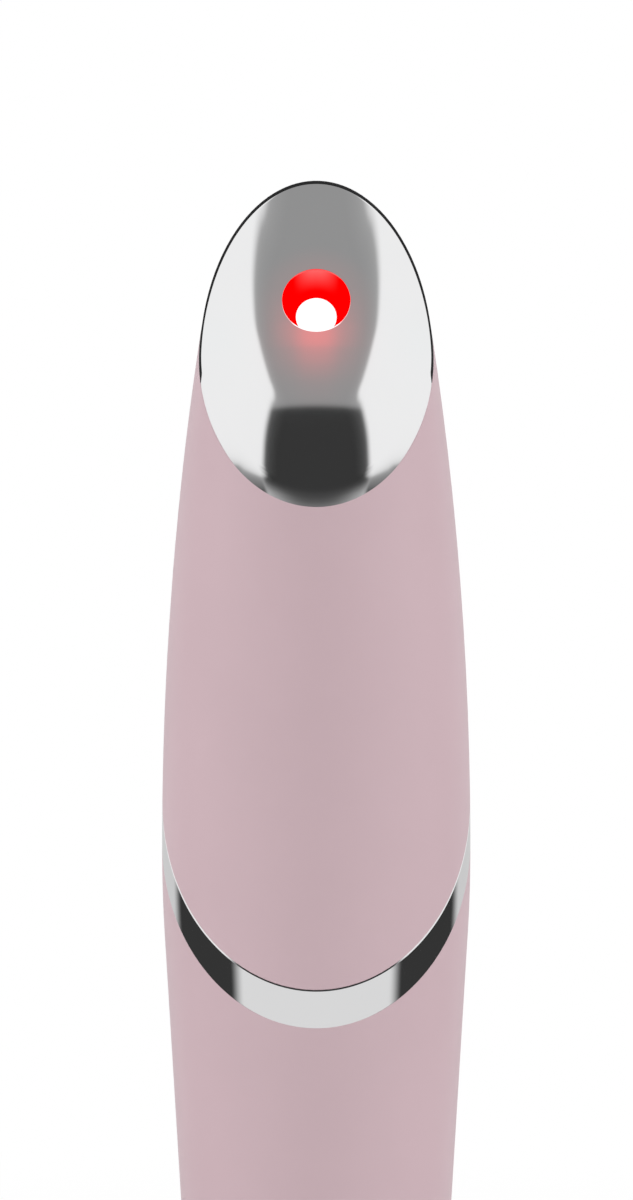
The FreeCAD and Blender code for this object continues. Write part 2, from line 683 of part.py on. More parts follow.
def make_lamp():
    lip, floor = "-@cup_lip", "-@cup_depth"
    outer = "@hole_radius + @cup_wall"
    bore = "@window_radius + @fit_gap / 3"
    barrel = "@window_radius + @cup_wall + @fit_gap"
    window_back = "%s - @window_thickness" % floor
    board_top = "%s - @lamp_thickness" % window_back
    turned("light_cup", "@hole_shift", "@hole_rise", [
        ("@hole_radius", lip), (outer, lip), (outer, "-@cup_shoulder"), (barrel, floor),
        (barrel, board_top), (bore, board_top), (bore, floor),
        ("@window_radius - @window_ledge", floor)])
    turned("light_window", "@hole_shift", "@hole_rise", [
        ("0", window_back), ("@window_radius", window_back), ("@window_radius", floor),
        ("0", floor)])
    turned("lamp_board", "@hole_shift", "@hole_rise", [
        ("0", "%s - @lamp_board_thickness" % board_top),
        ("@lamp_board_radius", "%s - @lamp_board_thickness" % board_top),
        ("@lamp_board_radius", board_top), ("0", board_top)])
    lamp = block("RedLamp", "@lamp_width", "@lamp_width", "@lamp_thickness", "0", "0", "0")
    aim_along_face(lamp, "@hole_shift - @lamp_width / 2",
                   "@hole_rise - @cup_depth - @window_thickness - @lamp_thickness")
    bind(lamp, "Placement.Base.x", "-@lamp_width / 2")
    keep("red_lamp", lamp)


# ------------------------------------------------------------------ heater under the head
def under_rim(obj, forward, drop, half_width):
    """Lay a box flat against the underside of the head, its front edge forward of the axis."""
    obj.Placement = FreeCAD.Placement(V(0, 0, 0), FreeCAD.Rotation(X_AXIS, 1))
    bind(obj, "Placement.Rotation.Angle", "@rim_angle")
    bind(obj, "Placement.Base.x", "-%s" % half_width)
    bind(obj, "Placement.Base.y", "-(%s) + (%s) * sin(@rim_angle)" % (forward, drop))
    bind(obj, "Placement.Base.z", "%s - (%s) * tan(@rim_angle) - (%s) * cos(@rim_angle)"
         % (RIM_HEIGHT, forward, drop))


def make_heater():
    film = block("HeaterFilm", "@heater_width", "@heater_length", "@heater_thickness",
                 "0", "0", "0")
    under_rim(film, HEATER_FRONT, "@heater_thickness", "@heater_width / 2")
    keep("heater_film", film)
    sensor = block("TemperatureSensor", "@sensor_width", "@sensor_length", "@sensor_thickness",
                   "0", "0", "0")
    middle = "%s - (@heater_length - @sensor_length) / 2 * cos(@rim_angle)" % HEATER_FRONT
    under_rim(sensor, middle, "@heater_thickness + @sensor_thickness", "@sensor_width / 2")
    keep("temperature_sensor", sensor)


# ------------------------------------------------------------------ chassis
def make_chassis():
    body = keep("inner_chassis", new_body("inner_chassis"))
    outer = "(%s + @channel_wall)" % CHANNEL_HALF
    inner = "(%s - @channel_ledge)" % CHANNEL_HALF
    front = "-(%s + @channel_wall / 2)" % BOARD_FRONT
    ledge = "-%s" % BOARD_BACK
    half = [(outer, "@channel_back"), (outer, front), (CHANNEL_HALF, front),
            (CHANNEL_HALF, ledge), (inner, ledge), (inner, WEB_FRONT)]
    mirrored = [("-%s" % x, y) for x, y in reversed(half)]
    channel = new_sketch(body, "ChannelOutline", "XY_Plane", "@channel_bottom")
    polygon(channel, half + mirrored)
    pad(body, "Channel", channel, "%s - @channel_bottom" % CHANNEL_TOP)

    lower = new_sketch(body, "LowerDiscOutline", "XY_Plane", CHANNEL_TOP)
    circle(lower, "0", "0", LOWER_DISC_RADIUS)
    pad(body, "LowerDisc", lower, "@disc_thickness")

    cradle = new_sketch(body, "CradleOutline", "XY_Plane", LOW_PAD)
    circle(cradle, "0", "0", CRADLE_OUTER)
    circle(cradle, "0", "0", CRADLE_INNER)
    pad(body, "Cradle", cradle, "@battery_length + 2 * @pad_thickness")
    # the cradle is open towards the front
    opening = new_sketch(body, "CradleOpening", "XY_Plane", UPPER_DISC)
    rectangle(opening, "-@widest_radius", "@widest_radius", "-@widest_radius", "0")
    pocket(body, "OpenFront", opening, "@battery_length + 2 * @pad_thickness")

    upper = new_sketch(body, "UpperDiscOutline", "XY_Plane", UPPER_DISC)
    circle(upper, "0", "0", UPPER_DISC_RADIUS)
    pad(body, "UpperDisc", upper, "@disc_thickness")
    cup = new_sketch(body, "MotorCupOutline", "XY_Plane", MOTOR_FLOOR)
    cup_in = "@motor_radius + @boot_wall"
    circle(cup, "0", "0", "%s + @motor_cup_wall" % cup_in)
    circle(cup, "0", "0", cup_in)
    pad(body, "MotorCup", cup, "@motor_cup_height")

    # screw posts stand forward from the web and carry the board
    posts = new_sketch(body, "PostOutline", "XZ_Plane", "-%s" % WEB_FRONT)
    for height in SCREW_HEIGHTS.values():
        circle(posts, "0", height, "@post_radius")
    pad(body, "Posts", posts, "%s + %s" % (WEB_FRONT, BOARD_BACK))
    bores = new_sketch(body, "PostBores", "XZ_Plane", BOARD_BACK)
    for height in SCREW_HEIGHTS.values():
        circle(bores, "0", height, "@screw_radius + @screw_play")
    pocket(body, "Bores", bores, "@screw_length")

    # leads pass the discs at the front and enter the motor cup through a slot
    notch = new_sketch(body, "LeadNotch", "XY_Plane", MOTOR_FLOOR)
    rectangle(notch, "-%s" % NOTCH_HALF, NOTCH_HALF, "-@widest_radius", "-%s" % NOTCH_FRONT)
    pocket(body, "Notch", notch)
    slot = new_sketch(body, "MotorSlot", "XY_Plane", MOTOR_BOTTOM)
    rectangle(slot, "-@motor_radius / 2", "@motor_radius / 2", "-@widest_radius", "0")
    pocket(body, "Slot", slot, "@motor_stand + @motor_cap_thickness")


# ------------------------------------------------------------------ battery
def make_battery():
    keep("battery_cell", rod("BatteryCell", BATTERY_RADIUS, "@battery_length", z=BATTERY_BOTTOM))
    pad_radius = "%s - @pad_inset" % BATTERY_RADIUS
    low = rod("LowPad", pad_radius, "@pad_thickness", z=LOW_PAD)
    high = rod("HighPad", pad_radius, "@pad_thickness", z=BATTERY_TOP)
    keep("battery_pads", group("BatteryPads", low, high))


# ------------------------------------------------------------------ vibration motor
def make_motor():
    can = keep("motor_can", new_body("motor_can"))
    boss_top = "%s + @boss_height" % MOTOR_TOP
    bore = "@shaft_radius + @shaft_play"
    sketch = new_sketch(can, "CanOutline", "XZ_Plane")
    polygon(sketch, [("0", MOTOR_BOTTOM), ("@motor_radius", MOTOR_BOTTOM),
                     ("@motor_radius", MOTOR_TOP), ("@boss_radius", MOTOR_TOP),
                     ("@boss_radius", boss_top), (bore, boss_top),
                     (bore, "%s - @shaft_seat" % MOTOR_TOP), ("0", "%s - @shaft_seat" % MOTOR_TOP)])
    revolve(can, "CanTurn", sketch)
    keep("motor_end_cap", rod("MotorEndCap", "@motor_radius - @shaft_play",
                              "@motor_cap_thickness", z=MOTOR_CAP))

    boot = keep("motor_boot", new_body("motor_boot"))
    sleeve = new_sketch(boot, "BootOutline", "XY_Plane", MOTOR_BOTTOM)
    circle(sleeve, "0", "0", "@motor_radius + @boot_wall")
    circle(sleeve, "0", "0", "@motor_radius")
    pad(boot, "Boot", sleeve, "@boot_length")

    keep("motor_shaft", rod("MotorShaft", "@shaft_radius",
                            "%s - %s + @shaft_seat - @shaft_end_gap" % (WEIGHT_TOP, MOTOR_TOP),
                            z="%s - @shaft_seat + @shaft_end_gap" % MOTOR_TOP))
    half = rod("WeightHalf", "@weight_radius", "@weight_length", z=WEIGHT_BOTTOM)
    half.Angle = 180
    hub = rod("WeightHub", "@hub_radius", "@weight_length", z=WEIGHT_BOTTOM)
    bore_hole = rod("WeightBore", "@shaft_radius", "2 * @weight_length",
                    z="%s - @weight_gap" % WEIGHT_BOTTOM)
    keep("eccentric_weight", cut("EccentricWeight", fuse("WeightWhole", half, hub), bore_hole))


# ------------------------------------------------------------------ circuit board
def make_board():
    body = keep("circuit_board", new_body("circuit_board"))
    sketch = new_sketch(body, "BoardOutline", "XZ_Plane", BOARD_BACK)
    top = "%s - @board_play" % CHANNEL_TOP
    half = [("@board_neck_half_width", "@board_bottom"), ("@board_neck_half_width", "@board_step"),
            ("@board_half_width", "@board_step"), ("@board_half_width", top)]
    polygon(sketch, half + [("-%s" % x, z) for x, z in reversed(half)])
    pad(body, "Board", sketch, "@board_thickness")
    holes = new_sketch(body, "ScrewHoles", "XZ_Plane", BOARD_FRONT)
    for height in SCREW_HEIGHTS.values():
        circle(holes, "0", height, "@screw_radius + @screw_play")
    pocket(body, "Holes", holes)

    screws = []
    for name, height in SCREW_HEIGHTS.items():
        shank = rod(name + "Shank", "@screw_radius", "@screw_length - @fit_gap + @board_thickness",
                    y="-(%s) + @screw_length - @fit_gap" % BOARD_BACK, z=height, forward=True)
        head = rod(name + "Head", "@screw_head_radius", "@screw_head_height",
                   y="-(%s)" % BOARD_FRONT, z=height, forward=True)
        screws.append(fuse(name, shank, head))
    keep("board_screws", group("BoardScrews", *screws))

    # chips on the board's back, which looks towards +Y
    small, big = "@chip_width", "@controller_width"
    low = "@board_step + @chip_rise"
    chips = [
        ("Controller", big, "@chip_thickness", "0", "@channel_bottom + @controller_rise"),
        ("Charger", small, "@chip_thickness", "-@chip_side", low),
        ("Coil", small, "@coil_thickness", "@chip_side", low),
        ("Driver", small, "@chip_thickness", "0", "%s - @driver_drop" % CHANNEL_TOP)]
    solids = [block(name, width, depth, width, "%s - %s / 2" % (side, width), "-%s" % BOARD_BACK,
                    bottom) for name, width, depth, side, bottom in chips]
    solids.append(block("StatusLamp", "@light_chip", "@light_chip_thickness", "@light_chip",
                        "-@light_chip / 2", "-(%s) - @light_chip_thickness" % BOARD_FRONT,
                        "%s - @light_chip / 2" % LIGHT_HEIGHT))
    keep("board_chips", group("BoardChips", *solids))


# ------------------------------------------------------------------ charging socket and end cap
def make_socket():
    shell = keep("socket_shell", new_body("socket_shell"))
    ring = new_sketch(shell, "SocketOutline", "XY_Plane", "@socket_recess")
    stadium(ring, "@socket_half_width", "@socket_half_height")
    stadium(ring, "(@socket_half_width - @socket_wall)", "(@socket_half_height - @socket_wall)")
    pad(shell, "SocketTube", ring, "@socket_length")
    top = "@socket_recess + @socket_length"
    base_half_width = "(@socket_half_width - @socket_half_height + @socket_wall)"
    base_half_height = "(@socket_half_height - @socket_wall - @fit_gap)"
    tongue = block("Tongue", "2 * @tongue_half_width", "2 * @tongue_half_height",
                   "@socket_length - @tongue_recess - @socket_recess",
                   "-@tongue_half_width", "-@tongue_half_height",
                   "@socket_recess + @tongue_recess")
    base = block("TongueBase", "2 * %s" % base_half_width, "2 * %s" % base_half_height,
                 "@tongue_recess", "-%s" % base_half_width, "-%s" % base_half_height,
                 "%s - @tongue_recess" % top)
    keep("socket_tongue", fuse("SocketTongue", tongue, base))


def make_end_cap():
    body = new_body("end_cap_blank")
    round_solid(body, "CapSkin")
    trim(body, "CapTop", "@cap_height")
    round_solid(body, "CapSpigot", SPIGOT_INSET)
    trim(body, "CapSpigotTop", "@cap_height + @cap_spigot_height")
    hollow = new_body("cap_hollow")
    round_solid(hollow, "CapHollow", CAP_HOLLOW)
    trim(hollow, "CapFloor", "@cap_floor", leave="above")
    slot = new_body("cap_slot")
    slot_outline = new_sketch(slot, "CapSlotOutline", "XY_Plane", "-@cap_floor")
    stadium(slot_outline, "(@socket_half_width + @cap_slot_gap)",
            "(@socket_half_height + @cap_slot_gap)")
    pad(slot, "CapSlot", slot_outline, "3 * @cap_floor")

    seal = keep("end_cap_seal", new_body("end_cap_seal"))
    round_solid(seal, "CapSealSkin", "@shell_wall")
    trim(seal, "CapSealTop", "@cap_height + @cap_seal_drop + @seal_height")
    trim(seal, "CapSealFoot", "@cap_height + @cap_seal_drop", leave="above")
    round_solid(seal, "CapSealHollow", CAP_SEAL_INNER, cut=True)

    whole = cut("EndCapWhole", body, hollow, slot, seal)
    doc.recompute()
    rounded = doc.addObject("Part::Fillet", "EndCap")
    rounded.Base = whole
    rounded.Edges = [(i, num("@cap_edge_round"), num("@cap_edge_round"))
                     for i in outermost(whole.Shape, 0.0)]
    keep("end_cap", rounded)


# ------------------------------------------------------------------ power button and its switch
def make_button():
    """The button is turned about its own axis, which looks forward from the body's axis."""
    def forward(body):
        body.Placement = FreeCAD.Placement(V(0, 0, 0), FreeCAD.Rotation(X_AXIS, 90))
        bind(body, "Placement.Base.z", BUTTON_HEIGHT)

    flange_front = "(%s - @flange_depth)" % BUTTON_SKIN
    flange_back = "(%s - @flange_thickness)" % flange_front
    top = "(%s + @button_proud)" % BUTTON_SKIN
    seal_centre = "(%s - @button_seal_depth)" % BUTTON_SKIN
    seal_ring = "(@button_radius + @button_gap - @button_seal_radius - @fit_gap / 2)"

    body = new_body("button_blank")
    forward(body)
    sketch = new_sketch(body, "ButtonOutline", "XZ_Plane")
    polygon(sketch, [("0", "%s + @plunger_gap" % PLUNGER_TIP),
                     ("@stem_radius", "%s + @plunger_gap" % PLUNGER_TIP),
                     ("@stem_radius", flange_back), ("@flange_radius", flange_back),
                     ("@flange_radius", flange_front), ("@button_radius", flange_front),
                     ("@button_radius", top), ("0", top)])
    revolve(body, "ButtonTurn", sketch)
    dome = doc.addObject("Part::Sphere", "ButtonDome")
    bind(dome, "Radius", "@button_dome")
    bind(dome, "Placement.Base.y", "@button_dome - %s" % top)
    bind(dome, "Placement.Base.z", BUTTON_HEIGHT)
    domed = doc.addObject("Part::Common", "DomedButton")
    domed.Base = body
    domed.Tool = dome
    seal = doc.addObject("Part::Torus", "ButtonSeal")
    seal.Placement = FreeCAD.Placement(V(0, 0, 0), FreeCAD.Rotation(X_AXIS, 90))
    bind(seal, "Radius1", seal_ring)
    bind(seal, "Radius2", "@button_seal_radius")
    bind(seal, "Placement.Base.y", "-%s" % seal_centre)
    bind(seal, "Placement.Base.z", BUTTON_HEIGHT)
    keep("button_seal", seal)
    grooved = cut("GroovedButton", domed, seal)
    doc.recompute()
    front = num("@button_dome - %s - sqrt(@button_dome ^ 2 - @button_radius ^ 2)" % top)
    edges = [i for i, e in enumerate(grooved.Shape.Edges, start=1)
             if e.BoundBox.YLength < 1e-4 and abs(e.BoundBox.YMin - front) < 1e-3]
    rounded = doc.addObject("Part::Fillet", "PowerButton")
    rounded.Base = grooved
    rounded.Edges = [(i, num("@button_edge_round"), num("@button_edge_round")) for i in edges]
    keep("power_button", rounded)

    case = block("SwitchCase", "@switch_width", "@switch_thickness", "@switch_width",
                 "-@switch_width / 2", "-(%s)" % SWITCH_FRONT,
                 "%s - @switch_width / 2" % BUTTON_HEIGHT)
    # the bore leaves room behind the plunger for its whole travel
    bore = rod("SwitchBore", "@plunger_radius + @plunger_play",
               "@plunger_length - @plunger_proud + 2 * @button_travel",
               y="-(%s) + @plunger_length - @plunger_proud + @button_travel" % SWITCH_FRONT,
               z=BUTTON_HEIGHT, forward=True)
    keep("switch_case", cut("SwitchBody", case, bore))
    keep("switch_plunger", rod("SwitchPlunger", "@plunger_radius", "@plunger_length",
                               y="-(%s) + @plunger_length" % PLUNGER_TIP,
                               z=BUTTON_HEIGHT, forward=True))


def make_status_light():
    inner = "(%s - @shell_wall - @shell_wall / 2)" % LIGHT_SKIN
    pipe = rod("LightPipe", "@light_radius", "%s - %s - @fit_gap" % (LIGHT_SKIN, inner),
               y="-%s" % inner, z=LIGHT_HEIGHT, forward=True)
    flange = rod("LightFlange", "@light_flange_radius", "@light_flange_thickness",
                 y="-%s + @light_flange_thickness" % inner, z=LIGHT_HEIGHT, forward=True)
    keep("status_light_pipe", fuse("StatusLightPipe", pipe, flange))


# ------------------------------------------------------------------ insulated leads
def lead_path(points):
    """Straight runs joined by tangent arcs, each as large as its two runs allow."""
    edges, last = [], points[0]
    for before, corner, after in zip(points, points[1:], points[2:]):
        arrive, leave = (before - corner), (after - corner)
        shorter = min(arrive.Length, leave.Length)
        arrive.normalize()
        leave.normalize()
        setback = 0.45 * shorter
        start, end = corner + arrive * setback, corner + leave * setback
        half_turn = (math.pi - arrive.getAngle(leave)) / 2
        radius = setback / math.tan(half_turn)
        bisector = (arrive + leave).normalize()
        middle = corner + bisector * (radius / math.cos(half_turn) - radius)
        edges.append(Part.LineSegment(last, start).toShape())
        edges.append(Part.Arc(start, middle, end).toShape())
        last = end
    edges.append(Part.LineSegment(last, points[-1]).toShape())
    return Part.Wire(edges)


def make_leads(label, route):
    """A pair of leads, mirrored about the middle plane.

    route is the list of places (sideways, forward, height), chosen by hand.
    """
    radius = num("@lead_radius")
    tubes = []
    for hand in (-1, 1):
        points = [V(hand * sideways, -forward, height) for sideways, forward, height in route]
        path = lead_path(points)
        section = Part.Wire(Part.makeCircle(radius, points[0], points[1] - points[0]))
        tube = path.makePipeShell([section], True, False)
        expected = math.pi * radius ** 2 * path.Length
        if abs(tube.Volume - expected) > 0.02 * expected:
            raise RuntimeError("%s is not a plain tube" % label)
        tubes.append(tube)
    made = doc.addObject("Part::Feature", label)
    made.Shape = Part.makeCompound(tubes)
    keep(label, made)


def make_all_leads():
    """Every pair starts on the board's front, above the button, and climbs past the battery.

    Above the upper disc the places are written as (sideways, forward, height): the first two in
    elevenths of the body's greatest radius, the height as a share of the way from the motor's
    floor up to the rim.
    """
    step = num("@widest_radius") / 11
    start = num("%s + @lead_start" % BUTTON_HEIGHT)
    on_board = num("%s + @lead_radius" % BOARD_FRONT)
    channel_top, motor_floor, rim = num(CHANNEL_TOP), num(MOTOR_FLOOR), num(RIM_HEIGHT)
    straight = num("@lamp_lead_straight")

    def beside(radius, sideways):
        """The forward distance at which a lead lies beside a round thing."""
        return math.sqrt((radius + num("@lead_radius + @lead_gap")) ** 2 - sideways ** 2)

    def climb(side):
        """From the board up through the upper disc's notch."""
        sideways, forward = num(side), num(lead_front(side))
        return [(sideways, on_board, start), (sideways, on_board, start + num("@lead_rest")),
                (sideways, forward, channel_top - num("@lead_reach")),
                (sideways, forward, motor_floor + num("@lead_leave"))]

    def onward(*places):
        return [(side * step, forward * step, motor_floor + share * (rim - motor_floor))
                for side, forward, share in places]

    battery = climb(BATTERY_LEAD)[:3]
    sideways, forward = battery[-1][:2]
    battery += [(sideways, forward, channel_top + num("@battery_lead_turn")),
                (sideways, beside(num(BATTERY_RADIUS), sideways),
                 channel_top + num("@battery_lead_rise"))]
    make_leads("battery_leads", battery)

    # the motor's pair runs level into its end cap, through the slot in the motor's cup
    cap_middle = num("%s + @motor_cap_thickness / 2" % MOTOR_CAP)
    make_leads("motor_leads", climb(MOTOR_LEAD) + [
        (1.2 * step, 5.8 * step, cap_middle), (1.2 * step, num("@motor_radius"), cap_middle)])

    # the heater's pair ends just under the heating film
    front = num("%s - @heater_lead_inset" % HEATER_FRONT)
    lean = math.radians(num("@rim_angle"))
    under_film = (rim - (front + num("@lead_radius")) * math.tan(lean)
                  - num("@heater_thickness") / math.cos(lean) - num("@lead_gap"))
    make_leads("heater_leads", climb(HEATER_LEAD) + onward((2.8, 6.3, 0.356), (2.5, 5.6, 0.593))
               + [(2.2 * step, front, under_film)])

    # the lamp's pair goes round the motor and comes up square to the back of the lamp's board
    slope = math.radians(num("@face_angle"))

    def behind_lamp(distance):
        out, along = num(LAMP_BACK) - distance, num("@hole_shift")
        return (num("@lead_side"), out * math.sin(slope) - along * math.cos(slope),
                num(FACE_HEIGHT) + along * math.sin(slope) + out * math.cos(slope))

    make_leads("lamp_leads", climb(LAMP_LEAD) + onward(
        (4.7, 5.8, 0.178), (6.0, 3.0, 0.395), (6.2, -1.0, 0.593), (4.2, -5.0, 0.763))
        + [behind_lamp(straight), behind_lamp(num("@lead_gap"))])


make_shells()
make_head()
make_lamp()
make_heater()
make_chassis()
make_battery()
make_motor()
make_board()
make_socket()
make_end_cap()
make_button()
make_status_light()
make_all_leads()
doc.recompute()

# ------------------------------------------------------------------ checks and export
for obj in doc.Objects:
    if "Invalid" in obj.State or "Error" in obj.State:
        raise RuntimeError("%s failed: %s" % (obj.Label, obj.State))
for label, obj in nodes.items():
    if obj.Shape.isNull() or not obj.Shape.isValid() or not obj.Shape.Solids:
        raise RuntimeError("%s has no valid solid" % label)

os.makedirs("parts", exist_ok=True)
for label, obj in nodes.items():
    obj.Shape.exportStep("parts/%s.step" % label)
print("%d nodes" % len(nodes))
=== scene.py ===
"""Looks of the heated eye massager wand: fine polished pieces, materials, studio and camera.

Lengths in the shape code are millimetres in the part's own frame; MM turns them into metres.
"""

import json
import math

import bmesh
import bpy
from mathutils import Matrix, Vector


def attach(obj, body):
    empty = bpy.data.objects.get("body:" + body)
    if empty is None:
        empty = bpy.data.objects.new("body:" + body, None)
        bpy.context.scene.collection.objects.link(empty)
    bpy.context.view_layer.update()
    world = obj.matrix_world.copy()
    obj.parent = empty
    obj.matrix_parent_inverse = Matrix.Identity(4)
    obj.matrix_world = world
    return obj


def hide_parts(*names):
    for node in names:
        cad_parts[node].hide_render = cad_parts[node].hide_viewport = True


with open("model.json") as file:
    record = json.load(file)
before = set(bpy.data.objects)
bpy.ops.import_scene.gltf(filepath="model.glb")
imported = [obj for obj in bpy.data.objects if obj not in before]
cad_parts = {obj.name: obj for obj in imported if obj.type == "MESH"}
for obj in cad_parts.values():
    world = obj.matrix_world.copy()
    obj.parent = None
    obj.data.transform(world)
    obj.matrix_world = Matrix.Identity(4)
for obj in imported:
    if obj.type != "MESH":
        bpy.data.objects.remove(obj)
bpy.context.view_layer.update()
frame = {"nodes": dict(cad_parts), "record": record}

MM = 0.001

# ------------------------------------------------------------------ the part's own shape
BASE_RADIUS, WIDEST_RADIUS, SHOULDER_RADIUS, NOSE_RADIUS = 6.64, 11.0, 9.63, 6.53
TAPER_Z, WIDEST_Z, SHOULDER_Z, TOP_Z = 76.0, 81.8, 108.8, 130.0
RING_TOP, RING_BAND, RING_SLOPE = 86.05, 3.1, 1.0
RIM_TOP, RIM_SLOPE = 120.3, math.tan(math.radians(46.0))
WALL = 1.3

FACE_ANGLE = math.radians(53.2)
FACE_COS, FACE_SIN = math.cos(FACE_ANGLE), math.sin(FACE_ANGLE)
FACE_Z = 121.08
HEAD_INSET, HEAD_EDGE = 0.15, 0.25
CROWN_ACROSS, CROWN_ALONG, CROWN_RISE, CROWN_SHIFT = 22.0, 80.0, 2.0, 6.44
HOLE_SHIFT, HOLE_RADIUS, HOLE_LEDGE, HOLE_STEP = 1.32, 2.41, 1.10, 2.77
# the head's edge: its gap inside the collar's lip in HEAD_INSETs (at the sides, and how much less
# at the top), its gap inside the outline below the lip, and how far it is broken all round
LIP_WIDE, LIP_TAPER = 1.15, 0.75
EDGE_GAP, EDGE_BREAK = 0.008, 0.002
# the head's lower edge rolls down to the rim: widths, steepest slope and power of its curve
ROLL_NARROW, ROLL_WIDE, ROLL_SLOPE, ROLL_BEND = 0.1, 1.3, math.tan(math.radians(25.0)), 1.6
# the hole's broken edge is wider at the bottom; the ring's bevel is wider at the sides
HOLE_BREAK_TOP, HOLE_BREAK_LOW = 0.015, 0.135
BEVEL_FRONT, BEVEL_SIDE, RIM_BREAK = 0.14, 0.19, 0.02

LEAN = math.atan((WIDEST_RADIUS - BASE_RADIUS) / ((TAPER_Z + WIDEST_Z) / 2))
BELLY_R = (WIDEST_Z - TAPER_Z) / math.sin(LEAN)
MIDDLE_R = (((SHOULDER_Z - WIDEST_Z) ** 2 + (WIDEST_RADIUS - SHOULDER_RADIUS) ** 2)
            / (2 * (WIDEST_RADIUS - SHOULDER_RADIUS)))
_to_centre = Vector((WIDEST_RADIUS - MIDDLE_R - SHOULDER_RADIUS, WIDEST_Z - SHOULDER_Z)).normalized()
_to_top = Vector((NOSE_RADIUS - SHOULDER_RADIUS, TOP_Z - SHOULDER_Z))
UPPER_R = _to_top.length_squared / (2 * _to_top.dot(_to_centre))
UPPER_X, UPPER_Z = SHOULDER_RADIUS + _to_centre.x * UPPER_R, SHOULDER_Z + _to_centre.y * UPPER_R


def outline_radius(z):
    """Radius of the wand's round outline at a height."""
    if z < TAPER_Z:
        return BASE_RADIUS + z * math.tan(LEAN)
    if z < WIDEST_Z:
        return WIDEST_RADIUS - BELLY_R + math.sqrt(BELLY_R ** 2 - (z - WIDEST_Z) ** 2)
    if z < SHOULDER_Z:
        return WIDEST_RADIUS - MIDDLE_R + math.sqrt(MIDDLE_R ** 2 - (z - WIDEST_Z) ** 2)
    return UPPER_X + math.sqrt(UPPER_R ** 2 - (z - UPPER_Z) ** 2)


def face_point(side, along, out):
    """A point given on the massage face's own axes: sideways, up the slope and out of the face."""
    return Vector((side, along * FACE_COS - out * FACE_SIN, FACE_Z + along * FACE_SIN + out * FACE_COS))


def dome_height(side, along):
    """How far the domed face stands out of the face plane."""
    crown = CROWN_RISE - CROWN_ALONG + math.sqrt(CROWN_ALONG ** 2 - (along + CROWN_SHIFT) ** 2)
    across = crown - CROWN_RISE + CROWN_ACROSS
    return crown - across + math.sqrt(across ** 2 - side ** 2)


def rim_height(along):
    """Height over the face plane of the upper shell's slanted rim."""
    lean = RIM_SLOPE * FACE_COS - FACE_SIN
    return (RIM_TOP - FACE_Z + along * lean) / (FACE_COS + RIM_SLOPE * FACE_SIN)


def head_floor(along):
    """Height over the face plane of the head's underside: the collar's seat or the rim."""
    return max(-HEAD_EDGE, rim_height(along))


def smooth(value, start, stop):
    """0 up to start and 1 from stop on, with a smooth change between them."""
    t = min(1.0, max(0.0, (value - start) / (stop - start)))
    return t * t * (3 - 2 * t)


# ------------------------------------------------------------------ mesh helpers
def closed_loops(name, loops, sharp_angle=40.0):
    """A solid whose skin runs through equal closed loops of points, the last joined to the first."""
    count, size = len(loops), len(loops[0])
    verts = [p * MM for loop in loops for p in loop]
    faces = [(i * size + j, i * size + (j + 1) % size,
              (i + 1) % count * size + (j + 1) % size, (i + 1) % count * size + j)
             for i in range(count) for j in range(size)]
    mesh = bpy.data.meshes.new(name)
    mesh.from_pydata(verts, [], faces)
    mesh.validate()
    mesh.shade_smooth()
    mesh.set_sharp_from_angle(angle=math.radians(sharp_angle))
    piece = bpy.data.objects.new(name, mesh)
    bpy.context.scene.collection.objects.link(piece)
    return piece


def face_outwards(piece):
    """Turn the skin's faces outwards."""
    mesh = bmesh.new()
    mesh.from_mesh(piece.data)
    bmesh.ops.recalc_face_normals(mesh, faces=mesh.faces)
    if mesh.calc_volume(signed=True) < 0:
        bmesh.ops.reverse_faces(mesh, faces=mesh.faces)
    mesh.to_mesh(piece.data)
    mesh.free()


def rounded_corner(before, corner, after, steps):
    """Points of a smooth curve from one point to another that bends at the corner between them."""
    return [before * (1 - t) ** 2 + corner * 2 * t * (1 - t) + after * t ** 2
            for t in (i / steps for i in range(steps + 1))]


def plane_crossing(height, slope, sine, inset=0.0):
    """The point, as radius and height, where the outline meets a slanted plane at a bearing."""
    z = height
    for _ in range(24):
        z = height + slope * (outline_radius(z) - inset) * sine
    return outline_radius(z) - inset, z


